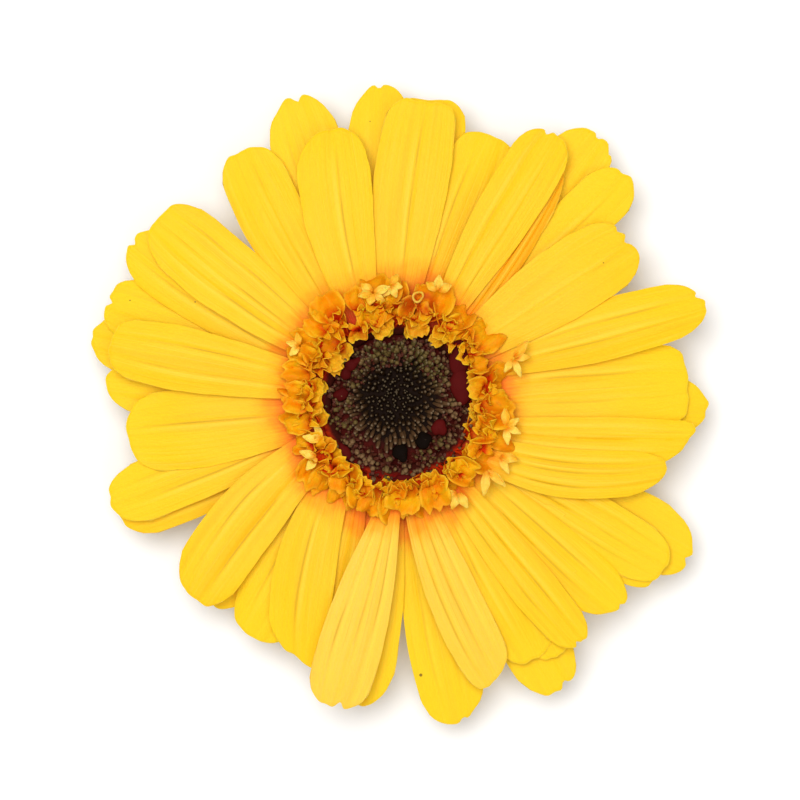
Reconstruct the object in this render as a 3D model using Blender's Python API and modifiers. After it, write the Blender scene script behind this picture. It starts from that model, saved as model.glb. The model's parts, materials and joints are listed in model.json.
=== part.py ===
"""The head of a yellow gerbera daisy, picked just under the bloom and lying face up.

The origin is the middle of the cut stem end, on the surface that the head stands on, and +Z points up
out of the flower. Sizes are given in millimetres, angles in degrees, anticlockwise from +X seen from above.
"""

import math
import random
from collections import namedtuple

import bmesh
import bpy
from mathutils import Vector

MM = 0.001
GOLDEN_ANGLE = math.radians(137.508)

# Driving dimensions
STEM_RADIUS = 3.7
STUB_HEIGHT = 3.6
RECEPTACLE_RADIUS = 13.0
RECEPTACLE_TOP = 12.3
CLEARANCE = 0.35
BLADE = 0.6
EYE_RADIUS = 10.0

# The ring that the petals grow together in, and how the petal layers are stacked on each other
RING_INNER = EYE_RADIUS + CLEARANCE
RING_OUTER = 12.6
RING_BOTTOM = RECEPTACLE_TOP + CLEARANCE
RING_TOP = 17.3
ROOT_RADIUS = 10.0
FIRST_ROW = 0.028
ROOT_INSET = 0.5
LOWEST_LAYER = 13.3
LAYER_PITCH = 0.74
BACK_TILT = -0.045
TILT_PER_LAYER = 0.015
PETAL_ARCH = 1.1
TIP_DROOP = 1.4
EDGE_DROOP = 0.3
CREASE_DEPTH = 0.12
FLUTTER = 0.25
TIP_TAPER = 0.18
NOTCH_DEPTH = 0.8
PETAL_ROWS = 5
BACK_PETAL_ROWS = 4
PETAL_COLUMNS = 4

# One entry for each petal. tip is its bearing and reach is how far its end lies from the flower's axis.
# layer is 0 for the hindmost, root is the bearing where it leaves the ring, and bow is how far its middle
# leans anticlockwise. The widest point is a share of the length, neck is the root's width and cap the
# length of the rounded end as shares of the width, blunt squares the end off, and skew shortens its
# anticlockwise corner.
Petal = namedtuple(
    "Petal",
    "tip reach width layer root bow widest neck cap blunt skew notched",
    defaults=(0.0, 0.74, 0.34, 0.52, 2.6, 0.0, False),
)
PETALS = [
    # The back whorl, seen only by its tips
    Petal(108.6, 51.0, 10.4, 1.2, 112, widest=0.80, cap=0.60, skew=0.05, blunt=2.2, notched=True),
    Petal(93.0, 50.7, 9.8, 0.3, 97, widest=0.78, cap=0.80, blunt=2.1, notched=True),
    Petal(82.4, 48.4, 10.8, 1.1, 84, widest=0.85, cap=0.35, blunt=4.0),
    Petal(52.8, 53.4, 10.8, 0.4, 56, widest=0.80, cap=0.60, skew=0.06, notched=True),
    Petal(358.8, 49.7, 9.6, 0.5, 2, widest=0.80, cap=0.60, blunt=2.2),
    Petal(331.8, 53.0, 11.6, 0.6, 331, widest=0.76, cap=0.65, skew=0.06, notched=True),
    Petal(325.2, 50.2, 7.6, 1.1, 322, cap=0.70, blunt=2.2),
    Petal(299.4, 53.0, 10.6, 0.6, 299, widest=0.80, notched=True),
    Petal(281.0, 52.5, 11.2, 0.5, 278, bow=-0.2, widest=0.78, cap=0.60, blunt=2.3, skew=0.08, notched=True),
    Petal(263.2, 49.2, 9.4, 1.3, 268, cap=0.70, blunt=2.2),
    Petal(227.4, 44.8, 10.0, 0.8, 225),
    Petal(202.8, 48.0, 9.6, 0.6, 206, cap=0.60, blunt=2.4),
    Petal(168.2, 49.8, 10.2, 0.4, 169, cap=0.62, blunt=2.3),
    Petal(176.6, 46.6, 10.0, 1.3, 178, cap=0.80, blunt=2.2),
    Petal(134.5, 37.0, 7.4, 1.2, 136, cap=0.80, blunt=2.2),
    Petal(258.5, 42.0, 7.6, 0.8, 254, blunt=2.4),
    Petal(255.0, 42.0, 8.0, 1.9, 240, blunt=2.4),
    # The middle whorl
    Petal(44.4, 51.4, 8.8, 2.0, 47, widest=0.82, skew=0.04, notched=True),
    Petal(161.2, 48.6, 10.0, 1.6, 160, widest=0.82, cap=0.45, blunt=3.4, notched=True),
    Petal(148.8, 49.4, 9.8, 2.6, 158, bow=0.9, widest=0.78, notched=True),
    Petal(70.2, 44.8, 10.8, 2.5, 75, bow=0.3, widest=0.78, cap=0.40, blunt=3.2),
    Petal(302.4, 48.2, 8.6, 1.9, 302, blunt=2.4),
    Petal(3.0, 46.4, 12.8, 2.3, 0, widest=0.66, neck=0.62, cap=0.30, blunt=3.6),
    Petal(328.0, 50.6, 9.6, 1.9, 324, cap=0.60),
    Petal(239.2, 44.2, 10.4, 2.2, 238),
    Petal(199.2, 48.6, 9.6, 2.4, 198, widest=0.80, blunt=2.8),
    Petal(352.4, 47.4, 9.8, 3.2, 345, bow=0.4, widest=0.66, neck=0.56, cap=0.80, blunt=2.2),
    Petal(316.8, 48.4, 10.2, 2.9, 315, bow=-0.2, widest=0.78, skew=-0.14, notched=True),
    # The front whorl, seen whole
    Petal(121.8, 46.8, 10.6, 3.4, 128, bow=1.3, cap=0.42, skew=-0.05, notched=True),
    Petal(84.8, 47.2, 11.8, 3.7, 91, bow=0.6, widest=0.72, neck=0.40, blunt=2.8),
    Petal(298.3, 46.8, 9.4, 3.0, 296, cap=0.45, blunt=2.8),
    Petal(17.2, 51.4, 10.2, 3.5, 19, bow=0.3, widest=0.70, cap=0.65, blunt=2.3, skew=-0.05),
    Petal(187.2, 43.2, 12.8, 3.5, 191, bow=0.2, neck=0.45, cap=0.40, blunt=2.8),
    Petal(249.0, 44.2, 10.0, 3.4, 222, bow=-2.2, widest=0.72, neck=0.45, cap=0.40, blunt=2.8, skew=-0.20),
    Petal(103.8, 44.2, 11.6, 4.6, 114, bow=1.3, blunt=2.8),
    Petal(59.4, 49.2, 9.6, 4.3, 61, bow=0.3, widest=0.76, cap=0.50, blunt=2.8, skew=-0.04, notched=True),
    Petal(34.3, 45.6, 12.0, 4.4, 37, bow=0.3, widest=0.72, neck=0.40, cap=0.45, blunt=2.8, notched=True),
    Petal(345.6, 44.2, 8.4, 4.3, 324, bow=-2.7, widest=0.60, neck=0.56, cap=0.80, blunt=2.0),
    Petal(307.0, 48.6, 7.4, 4.0, 302, bow=-0.4, widest=0.70, neck=0.45, cap=0.60, blunt=2.4, notched=True),
    Petal(289.2, 47.4, 7.6, 3.9, 279, bow=-1.2, widest=0.72, neck=0.45, cap=0.70, blunt=2.0),
    Petal(258.2, 49.8, 10.2, 4.9, 273, bow=0.2, widest=0.80, neck=0.16, cap=0.40, blunt=2.8, notched=True),
    Petal(224.0, 45.4, 11.6, 4.4, 206, bow=-1.8, widest=0.70, neck=0.45, cap=0.50, blunt=2.5),
    Petal(169.0, 46.4, 10.2, 5.0, 168, bow=0.2, widest=0.76, neck=0.45, cap=0.45, blunt=3.0, notched=True),
    Petal(142.8, 48.0, 11.8, 4.2, 146, bow=0.5, widest=0.72, neck=0.36, cap=0.50),
]

# The frilly ring: whorls of short lobed florets, each (count, root radius, rise, reach, width, first
# bearing). Its stations are (share of the reach, offset in height, share of the rise, share of the width).
FRILL_WHORLS = [(23, 12.0, 1.2, 19.0, 4.3, 4), (19, 11.4, 2.6, 17.0, 4.1, 11), (15, 10.9, 4.0, 14.6, 3.7, 2)]
FRILL_INNER = EYE_RADIUS + CLEARANCE
FRILL_OUTER = 12.6
FRILL_BOTTOM = RING_TOP + CLEARANCE
FRILL_TOP = 19.0
FRILL_ROOT_DEPTH = 0.8
FRILL_STATIONS = [(0.0, -FRILL_ROOT_DEPTH, 0.0, 0.3), (0.45, 0.0, 1.0, 0.8), (1.0, 0.0, 0.62, 1.0)]
FRILL_NOTCH = 0.75
FRILL_CURL = 0.22
FRILL_SEED = 7

# The dark eye: a low dome of buds
EYE_FLOOR = RECEPTACLE_TOP + CLEARANCE
EYE_EDGE_TOP = 18.6
EYE_SHOULDER = 19.5
EYE_TOP = 19.8
BUD_COUNT = 82
BUD_RADIUS = 0.9
BUD_INNER_SHARE = 0.72
BUD_TAPER = 0.7
BUD_HEIGHT = 1.8
BUD_PROUD = 0.25
BUD_LEAN = 0.2
BUD_EDGE = 0.3

# The green cup under the bloom: rows of bracts, each (count, foot height, length, width, flare)
CUP_PROFILE = [(7.8, 5.6), (11.6, 8.6)]
BRACT_ROWS = [(11, 4.3, 6.4, 3.4, 1.7), (13, 5.8, 7.0, 3.6, 1.5), (15, 8.0, 5.2, 3.6, 1.3)]
BRACT_SHARES = (0.7, 1.0, 0.18)
BRACT_SUNK = 0.45
BRACT_SPREAD = 0.7
BRACT_HOLLOW = 0.25
BRACT_HEADROOM = 0.4


def material(name, colour, roughness):
    """A plain Principled finish in the piece's main colour."""
    made = bpy.data.materials.new(name)
    made.use_nodes = True
    shader = made.node_tree.nodes["Principled BSDF"]
    shader.inputs["Base Color"].default_value = (*colour, 1)
    shader.inputs["Roughness"].default_value = roughness
    return made


def add_object(name, mesh, collection):
    obj = bpy.data.objects.new(name, mesh)
    collection.objects.link(obj)
    return obj


def blade(name, grid, collection):
    """A thin closed blade on a grid of points in millimetres, its quads split alike on both faces."""
    bm = bmesh.new()
    rows = [[bm.verts.new(Vector(p) * MM) for p in row] for row in grid]
    for low, high in zip(rows, rows[1:]):
        for i in range(len(low) - 1):
            bm.faces.new((low[i], low[i + 1], high[i + 1]))
            bm.faces.new((low[i], high[i + 1], high[i]))
    bmesh.ops.recalc_face_normals(bm, faces=bm.faces)
    mesh = bpy.data.meshes.new(name)
    bm.to_mesh(mesh)
    bm.free()
    obj = add_object(name, mesh, collection)
    shell = obj.modifiers.new("thickness", "SOLIDIFY")
    shell.thickness = BLADE * MM
    shell.offset = 0
    return obj


def turned(name, profile, steps, collection, closed=False):
    """A profile of (radius, height) points, run down its outer side, turned about the flower's axis."""
    mesh = bpy.data.meshes.new(name)
    points = [(r * MM, 0, z * MM) for r, z in profile]
    edges = [(i, i + 1) for i in range(len(points) - 1)]
    if closed:
        edges.append((len(points) - 1, 0))
    mesh.from_pydata(points, edges, [])
    obj = add_object(name, mesh, collection)
    screw = obj.modifiers.new("turn", "SCREW")
    screw.steps = screw.render_steps = steps
    screw.use_merge_vertices = True
    screw.merge_threshold = 1e-5
    return obj


def fill_pockets(mesh):
    """Fills the closed pockets between overlapping pieces, so that only the outer skin is left."""
    bm = bmesh.new()
    bm.from_mesh(mesh)
    unseen = set(bm.verts)
    shells = []
    while unseen:
        shell = set()
        edge = {unseen.pop()}
        while edge:
            shell |= edge
            edge = {e.other_vert(v) for v in edge for e in v.link_edges} - shell
        unseen -= shell
        shells.append(shell)
    skin = max(shells, key=lambda shell: max(v.co.xy.length for v in shell))
    for shell in shells:
        if shell is not skin:
            bmesh.ops.delete(bm, geom=list(shell), context="VERTS")
    bm.to_mesh(mesh)
    bm.free()


def fuse(body, pieces):
    """Joins a collection of pieces to the body they grow from, and removes them."""
    union = body.modifiers.new("grow", "BOOLEAN")
    union.operation = "UNION"
    union.operand_type = "COLLECTION"
    union.collection = pieces
    union.solver = "MANIFOLD"
    graph = bpy.context.evaluated_depsgraph_get()
    fused = bpy.data.meshes.new_from_object(body.evaluated_get(graph))
    body.modifiers.clear()
    body.data = fused
    for piece in list(pieces.objects):
        bpy.data.objects.remove(piece)
    bpy.data.collections.remove(pieces)
    fill_pockets(fused)


def polar(radius, bearing, height=0.0):
    angle = math.radians(bearing)
    return Vector((radius * math.cos(angle), radius * math.sin(angle), height))


def petal_point(petal, along, across, flutter):
    """A point of a petal's middle surface; along runs 0 to 1 from root to tip, across -1 to 1."""
    root = polar(ROOT_RADIUS, petal.root)
    line = polar(petal.reach, petal.tip) - root
    length = line.length
    forward = line / length
    side = Vector((-forward.y, forward.x, 0))

    rounded = petal.cap * petal.width / length
    end = 1 - rounded * (1 - (1 - abs(across) ** petal.blunt) ** (1 / petal.blunt))
    end -= petal.skew * across * petal.width / length
    if petal.notched and across == 0:
        end -= NOTCH_DEPTH / length
    t = along * end

    if t < petal.widest:
        swell = math.sin(t / petal.widest * math.pi / 2) ** 1.3
        half = petal.width / 2 * (petal.neck + (1 - petal.neck) * swell)
    else:
        half = petal.width / 2 * (1 - TIP_TAPER * ((t - petal.widest) / (1 - petal.widest)) ** 2)
    point = root + forward * length * t + side * (petal.bow * 4 * t * (1 - t) + half * across)

    point *= max(1.0, (RING_INNER + ROOT_INSET) / point.length)
    out = max(0.0, point.length - RING_OUTER)
    tilt = BACK_TILT + TILT_PER_LAYER * petal.layer
    lift = out * tilt + PETAL_ARCH * math.sin(math.pi * t) - TIP_DROOP * t**3 + flutter * t * t
    crease = CREASE_DEPTH * math.cos(2 * math.pi * across) + EDGE_DROOP * across * across
    point.z = LOWEST_LAYER + LAYER_PITCH * petal.layer + lift - crease * min(1.0, 2 * t)
    return point


def ray_florets(collection):
    """The yellow petals, fused to the ring that their tubes make at the edge of the receptacle."""
    profile = [
        (RING_OUTER, RING_TOP),
        (RING_OUTER, RING_BOTTOM),
        (RING_INNER, RING_BOTTOM),
        (RING_INNER, RING_TOP),
    ]
    ring = turned("ray_florets", profile, 40, collection, closed=True)
    pieces = bpy.data.collections.new("petals")
    bpy.context.scene.collection.children.link(pieces)
    for number, petal in enumerate(PETALS):
        flutter = FLUTTER * math.sin(number * GOLDEN_ANGLE)
        rows = PETAL_ROWS if petal.layer > 1.4 else BACK_PETAL_ROWS
        grid = [
            [
                petal_point(petal, max(FIRST_ROW, row / rows), 2 * column / PETAL_COLUMNS - 1, flutter)
                for column in range(PETAL_COLUMNS + 1)
            ]
            for row in range(rows + 1)
        ]
        blade(f"petal_{number}", grid, pieces)
    fuse(ring, pieces)
    ring.data.materials.append(material("petal_yellow", (0.96, 0.67, 0.04), 0.55))


def frill_floret(name, bearing, root, rise, reach, width, lean, collection):
    """A short floret: a narrow neck that stands up, arches outwards and opens into two lobes."""
    side = polar(1, bearing + 90)
    grid = []
    for out, sunk, arch, share in FRILL_STATIONS:
        half = width / 2 * share
        curl = Vector((0, 0, FRILL_CURL * half))
        notch = FRILL_NOTCH if out == 1 else 0
        middle = polar(root + out * (reach - root), bearing + lean * out, FRILL_TOP + sunk + arch * rise)
        cleft = middle - polar(notch, bearing)
        grid.append([middle - side * half + curl, cleft, middle + side * half + curl])
    blade(name, grid, collection)


def trans_florets(collection):
    """The frilly orange ring: whorls of short lobed florets on a band above the petals."""
    profile = [
        (FRILL_OUTER, FRILL_TOP),
        (FRILL_OUTER, FRILL_BOTTOM),
        (FRILL_INNER, FRILL_BOTTOM),
        (FRILL_INNER, FRILL_TOP),
    ]
    band = turned("trans_florets", profile, 30, collection, closed=True)
    pieces = bpy.data.collections.new("frills")
    bpy.context.scene.collection.children.link(pieces)
    draw = random.Random(FRILL_SEED)
    for whorl, (count, root, rise, reach, width, first) in enumerate(FRILL_WHORLS):
        for number in range(count):
            frill_floret(
                f"frill_{whorl}_{number}",
                first + 360 * number / count + draw.uniform(-1.5, 1.5),
                root,
                rise + draw.uniform(-0.2, 0.2),
                reach + draw.uniform(-0.7, 0.5),
                width + draw.uniform(-0.4, 0.2),
                draw.uniform(-4, 4),
                pieces,
            )
    fuse(band, pieces)
    band.data.materials.append(material("frill_orange", (0.87, 0.33, 0.03), 0.55))


def disc_florets(collection):
    """The dark eye: a low dome that close-set buds stand out of, on the spiral that florets grow in."""
    profile = [
        (0, EYE_TOP),
        (EYE_RADIUS * 0.6, EYE_SHOULDER),
        (EYE_RADIUS, EYE_EDGE_TOP),
        (EYE_RADIUS, EYE_FLOOR),
        (0, EYE_FLOOR),
    ]
    dome = turned("disc_florets", profile, 20, collection)
    pieces = bpy.data.collections.new("buds")
    bpy.context.scene.collection.children.link(pieces)
    outermost = EYE_RADIUS - BUD_RADIUS - BUD_EDGE
    for number in range(BUD_COUNT):
        share = math.sqrt((number + 0.5) / BUD_COUNT)
        size = BUD_RADIUS * (BUD_INNER_SHARE + (1 - BUD_INNER_SHARE) * share) * MM
        bm = bmesh.new()
        bmesh.ops.create_cone(
            bm, cap_ends=True, segments=5, radius1=size, radius2=BUD_TAPER * size, depth=BUD_HEIGHT * MM
        )
        mesh = bpy.data.meshes.new(f"bud_{number}")
        bm.to_mesh(mesh)
        bm.free()
        bud = add_object(f"bud_{number}", mesh, pieces)
        angle = number * GOLDEN_ANGLE
        height = EYE_TOP - (EYE_TOP - EYE_EDGE_TOP) * share**3 + BUD_PROUD
        bud.location = polar(outermost * share, math.degrees(angle), height) * MM
        bud.rotation_euler = (0, BUD_LEAN * share, angle)
    fuse(dome, pieces)
    dome.data.materials.append(material("eye_brown", (0.035, 0.02, 0.012), 0.5))


def cup_point(foot, distance):
    """Radius, height and outward slope a distance up the cup's side, from a foot at the given height."""
    corners = [(STEM_RADIUS, STUB_HEIGHT), *CUP_PROFILE, (RECEPTACLE_RADIUS, RECEPTACLE_TOP)]
    for (r0, z0), (r1, z1) in zip(corners, corners[1:]):
        length = math.hypot(r1 - r0, z1 - z0)
        below = max(0.0, (foot - z0) / (z1 - z0)) * length
        if below >= length:
            continue
        if distance <= length - below or z1 == RECEPTACLE_TOP:
            share = (below + distance) / length
            return r0 + (r1 - r0) * share, z0 + (z1 - z0) * share, (z1 - z0) / length, (r0 - r1) / length
        distance -= length - below
        foot = z1


def involucre(collection):
    """The green cup: stem stub and receptacle in one, with overlapping pointed bracts growing on it."""
    profile = [
        (0, RECEPTACLE_TOP),
        (RECEPTACLE_RADIUS, RECEPTACLE_TOP),
        *reversed(CUP_PROFILE),
        (STEM_RADIUS, STUB_HEIGHT),
        (STEM_RADIUS, 0),
        (0, 0),
    ]
    cup = turned("involucre", profile, 24, collection)
    pieces = bpy.data.collections.new("bracts")
    bpy.context.scene.collection.children.link(pieces)
    for row, (count, foot, length, width, flare) in enumerate(BRACT_ROWS):
        for number in range(count):
            bearing = 360 * (number + 0.5 * (row % 2)) / count
            side = polar(1, bearing + 90)
            grid = []
            for station, share in enumerate(BRACT_SHARES):
                along = station / (len(BRACT_SHARES) - 1)
                radius, height, out, down = cup_point(foot, along * length)
                proud = -BRACT_SUNK + (BRACT_SUNK + flare) * along**BRACT_SPREAD
                height = min(height + down * proud, RECEPTACLE_TOP - BRACT_HEADROOM)
                middle = polar(radius + out * proud, bearing, height)
                half = width / 2 * share
                hollow = polar(BRACT_HOLLOW * half, bearing)
                grid.append([middle - side * half - hollow, middle, middle + side * half - hollow])
            blade(f"bract_{row}_{number}", grid, pieces)
    fuse(cup, pieces)
    cup.data.materials.append(material("bract_green", (0.16, 0.28, 0.06), 0.7))


def main():
    for obj in list(bpy.data.objects):
        bpy.data.objects.remove(obj)
    collection = bpy.data.collections.new("gerbera_daisy")
    bpy.context.scene.collection.children.link(collection)
    involucre(collection)
    ray_florets(collection)
    trans_florets(collection)
    disc_florets(collection)


main()
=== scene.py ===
import json
import math
import random
from collections import namedtuple

import bpy
import numpy as np
from mathutils import Matrix, Vector, noise

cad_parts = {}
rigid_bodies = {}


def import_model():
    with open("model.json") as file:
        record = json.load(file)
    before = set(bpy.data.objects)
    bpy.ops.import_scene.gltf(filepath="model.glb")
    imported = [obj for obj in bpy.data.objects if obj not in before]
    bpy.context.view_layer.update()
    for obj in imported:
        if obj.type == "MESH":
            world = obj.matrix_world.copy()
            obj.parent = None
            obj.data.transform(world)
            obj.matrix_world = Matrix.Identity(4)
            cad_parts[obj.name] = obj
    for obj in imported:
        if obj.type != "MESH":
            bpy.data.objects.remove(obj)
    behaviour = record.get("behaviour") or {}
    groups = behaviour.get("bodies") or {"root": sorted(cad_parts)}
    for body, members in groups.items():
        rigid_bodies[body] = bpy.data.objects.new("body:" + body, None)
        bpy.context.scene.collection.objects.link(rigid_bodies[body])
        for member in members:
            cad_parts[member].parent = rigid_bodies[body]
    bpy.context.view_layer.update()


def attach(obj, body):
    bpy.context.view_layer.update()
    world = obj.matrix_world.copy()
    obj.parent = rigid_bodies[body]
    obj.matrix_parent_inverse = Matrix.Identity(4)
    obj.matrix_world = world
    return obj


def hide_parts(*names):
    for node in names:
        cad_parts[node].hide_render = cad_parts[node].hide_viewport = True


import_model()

# Camera
# A long lens straight above the flower, so that the bloom lies in the frame as in the photograph.
# The flower's axis is half a millimetre left of the frame's middle.
VIEW_WIDTH = 0.1272
VIEW_MIDDLE = 0.00048
PETAL_LEVEL = 0.016
SENSOR_WIDTH = 36
LENS = 260


def placed(name, data):
    """An object of the scene that holds a camera, a mesh or a light."""
    made = bpy.data.objects.new(name, data)
    bpy.context.scene.collection.objects.link(made)
    return made


camera = placed("camera", bpy.data.cameras.new("camera"))
camera.data.sensor_width = SENSOR_WIDTH
camera.data.lens = LENS
camera.location = (VIEW_MIDDLE, 0, PETAL_LEVEL + VIEW_WIDTH * LENS / SENSOR_WIDTH)
camera.data.clip_end = 20
bpy.context.scene.camera = camera

# Floor
# A plain white studio table that the head stands on.
FLOOR_REACH = 3
PAPER_WHITE = (0.93, 0.93, 0.93, 1)
table = bpy.data.meshes.new("floor")
corners = [(-FLOOR_REACH, -FLOOR_REACH, 0), (FLOOR_REACH, -FLOOR_REACH, 0)]
corners += [(FLOOR_REACH, FLOOR_REACH, 0), (-FLOOR_REACH, FLOOR_REACH, 0)]
table.from_pydata(corners, [], [(0, 1, 2, 3)])
floor = placed("floor", table)
paper = bpy.data.materials.new("white_table")
paper.use_nodes = True
for socket, value in {"Base Color": PAPER_WHITE, "Roughness": 0.9, "Specular IOR Level": 0.1}.items():
    paper.node_tree.nodes["Principled BSDF"].inputs[socket].default_value = value
table.materials.append(paper)

# Lights
# A white room that lights everything softly, and two large softboxes, the stronger above and to the
# upper left. The picture keeps plain colours, so that the yellow stays as strong as it is.
room = bpy.data.worlds.new("white_room")
bpy.context.scene.world = room
bpy.context.scene.view_settings.view_transform = "Standard"
room.use_nodes = True
room.node_tree.nodes["Background"].inputs["Color"].default_value = (1, 1, 1, 1)
room.node_tree.nodes["Background"].inputs["Strength"].default_value = 0.42
# Place and size in metres, and power in watts.
SOFTBOXES = {"key_light": ((-0.13, 0.15, 1.15), 0.6, 10.5), "fill_light": ((0.3, -0.3, 1.1), 0.8, 2.5)}
for name, (place, size, power) in SOFTBOXES.items():
    softbox = bpy.data.lights.new(name, "AREA")
    softbox.shape = "DISK"
    softbox.size = size
    softbox.energy = power
    lamp = placed(name, softbox)
    lamp.location = place
    lamp.rotation_euler = (-Vector(place)).to_track_quat("-Z", "Y").to_euler()

# Receptacle and stem stub
# The fleshy green disc that all the florets grow from, narrowing to the last of the stem, cut square.
# It is turned about the flower's axis, with pale pith and a ring of strands on the cut.
MM = 0.001
IN_MM = 1000


class Wire:
    """A node socket that adds and multiplies like a number. node() adds any other node."""

    def __init__(self, tree, socket=None):
        self.tree = tree
        self.socket = socket

    def node(self, kind, settings=None, inputs=None, output=0):
        made = self.tree.nodes.new(kind)
        for name, value in (settings or {}).items():
            setattr(made, name, value)
        for name, value in (inputs or {}).items():
            if isinstance(value, Wire):
                self.tree.links.new(value.socket, made.inputs[name])
            else:
                made.inputs[name].default_value = value
        return Wire(self.tree, made.outputs[output])

    def maths(self, operation, *values):
        return self.node("ShaderNodeMath", {"operation": operation}, dict(enumerate(values)))

    def __add__(self, other):
        return self.maths("ADD", self, other)

    def __radd__(self, other):
        return self.maths("ADD", other, self)

    def __sub__(self, other):
        return self.maths("SUBTRACT", self, other)

    def __rsub__(self, other):
        return self.maths("SUBTRACT", other, self)

    def __mul__(self, other):
        return self.maths("MULTIPLY", self, other)

    def __rmul__(self, other):
        return self.maths("MULTIPLY", other, self)

    def __truediv__(self, other):
        return self.maths("DIVIDE", self, other)

    def __pow__(self, other):
        return self.maths("POWER", self, other)

    def __abs__(self):
        return self.maths("ABSOLUTE", self)

    def rise(self, start, end):
        """0 below start and 1 above end, with a smooth step between."""
        return self.node(
            "ShaderNodeMapRange",
            {"interpolation_type": "SMOOTHSTEP"},
            {"Value": self, "From Min": start, "From Max": end},
        )

    def mix(self, low, high):
        """The colour low where this is 0 and high where it is 1."""
        low, high = (shade if isinstance(shade, Wire) else (*shade, 1) for shade in (low, high))
        return self.node("ShaderNodeMix", {"data_type": "RGBA"}, {0: self, 6: low, 7: high}, 2)

    def noise(self, scale, detail=3.0, roughness=0.5):
        """Noise that runs with this vector."""
        inputs = {"Vector": self, "Scale": scale, "Detail": detail, "Roughness": roughness}
        return self.node("ShaderNodeTexNoise", None, inputs)

    def joined(self, *parts):
        """A vector made of numbers."""
        return self.node("ShaderNodeCombineXYZ", None, dict(enumerate(parts)))

    def parts(self):
        """The three numbers of this vector."""
        split = self.node("ShaderNodeSeparateXYZ", None, {0: self}).socket.node
        return [Wire(self.tree, part) for part in split.outputs]

    def place(self):
        """Where a spot of the surface lies in the object's own coordinates."""
        return self.node("ShaderNodeTexCoord", output=3)

    def off_axis(self):
        """The distance of this place from the flower's axis in millimetres."""
        x, y = self.parts()[:2]
        return (x * x + y * y) ** 0.5 * IN_MM

    def beside(self, spot):
        """How far this place lies to the right of a spot and above it, in millimetres."""
        x, y = self.parts()[:2]
        return x * IN_MM - spot[0], y * IN_MM - spot[1]

    def growth(self):
        """How far a spot lies across and along its skin."""
        return self.node("ShaderNodeUVMap", {"uv_map": "growth"}).parts()[:2]

    def kept(self, name):
        """A number that the mesh keeps for each of its points."""
        return self.node("ShaderNodeAttribute", {"attribute_name": name}, output=2)


def finish_named(name, roughness, shine=0.5, glow=0.0, depth=1.0, spread=(1.0, 0.2, 0.1)):
    """A new Principled material, its tree wrapped for maths, and its shader.

    glow is the share of light that passes through the flesh, depth how far it does in millimetres, and
    spread the share of that depth for red, green and blue.
    """
    made = bpy.data.materials.new(name)
    made.use_nodes = True
    shader = made.node_tree.nodes["Principled BSDF"]
    shader.inputs["Roughness"].default_value = roughness
    shader.inputs["Specular IOR Level"].default_value = shine
    shader.inputs["Subsurface Weight"].default_value = glow
    shader.inputs["Subsurface Scale"].default_value = depth * MM
    shader.inputs["Subsurface Radius"].default_value = spread
    return made, Wire(made.node_tree), shader


def dress(shader, colour, height=None, depth=0.1):
    """Feeds a colour, and a height in millimetres through a bump, to the shader."""
    colour.tree.links.new(colour.socket, shader.inputs["Base Color"])
    if height:
        inputs = {"Height": height, "Strength": 1.0, "Distance": depth * MM}
        bump = height.node("ShaderNodeBump", None, inputs)
        bump.tree.links.new(bump.socket, shader.inputs["Normal"])


def smooth(mesh):
    mesh.polygons.foreach_set("use_smooth", [True] * len(mesh.polygons))


def piece(mesh, finish):
    """An object of the flower, named as its mesh."""
    mesh.materials.append(finish)
    smooth(mesh)
    return placed(mesh.name, mesh)


def turned_skin(profile, steps, ripple=lambda angle: 0.0):
    """A closed skin from (radius, height) points in millimetres, run down its outer side and turned."""
    points, rings, faces, places = [], [], [], []
    heights = [height for radius, height in profile]
    for radius, height in profile:
        grown_to = (height - min(heights)) / (max(heights) - min(heights))
        turns = 1 if radius == 0 else steps
        rings.append([len(points) + step % turns for step in range(steps)])
        for step in range(turns):
            angle = 2 * math.pi * step / steps
            reach = (radius + ripple(angle)) * MM if radius else 0.0
            points.append(Vector((reach * math.cos(angle), reach * math.sin(angle), height * MM)))
            places.append((grown_to, 2 * step / steps - 1))
    closed = rings[1:] + ([rings[0]] if profile[0][0] and profile[-1][0] else [])
    for upper, lower in zip(rings, closed):
        for step in range(steps):
            after = (step + 1) % steps
            # At a pole two of the corners are one point.
            faces.append(list(dict.fromkeys([upper[step], lower[step], lower[after], upper[after]])))
    return points, faces, places, [0.0] * len(points)


def keep(mesh, name, values):
    """Keeps a number for each point of the mesh."""
    mesh.attributes.new(name, "FLOAT", "POINT").data.foreach_set("value", values)


SHARP_FROM = math.radians(60)


def gathered(name, sheets, tints=None):
    """One mesh from many skins, with their places as a UV map and a tint for each."""
    points, faces, places, under, tint = [], [], [], [], []
    for number, (skin, skin_faces, skin_places, skin_under) in enumerate(sheets):
        faces += [[corner + len(points) for corner in face] for face in skin_faces]
        points += skin
        places += skin_places
        under += skin_under
        tint += [tints[number] if tints else 0.5] * len(skin)
    mesh = bpy.data.meshes.new(name)
    mesh.from_pydata(points, [], faces)
    mesh.set_sharp_from_angle(angle=SHARP_FROM)
    corners = np.empty(len(mesh.loops), dtype=np.int32)
    mesh.loops.foreach_get("vertex_index", corners)
    flat = np.array([(0.5 + across / 2, along) for along, across in places], dtype=np.float32)
    mesh.uv_layers.new(name="growth").data.foreach_set("uv", flat[corners].ravel())
    keep(mesh, "underneath", under)
    keep(mesh, "tint", tint)
    return mesh


def turned(name, *shape):
    return gathered(name, [turned_skin(*shape)])


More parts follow.
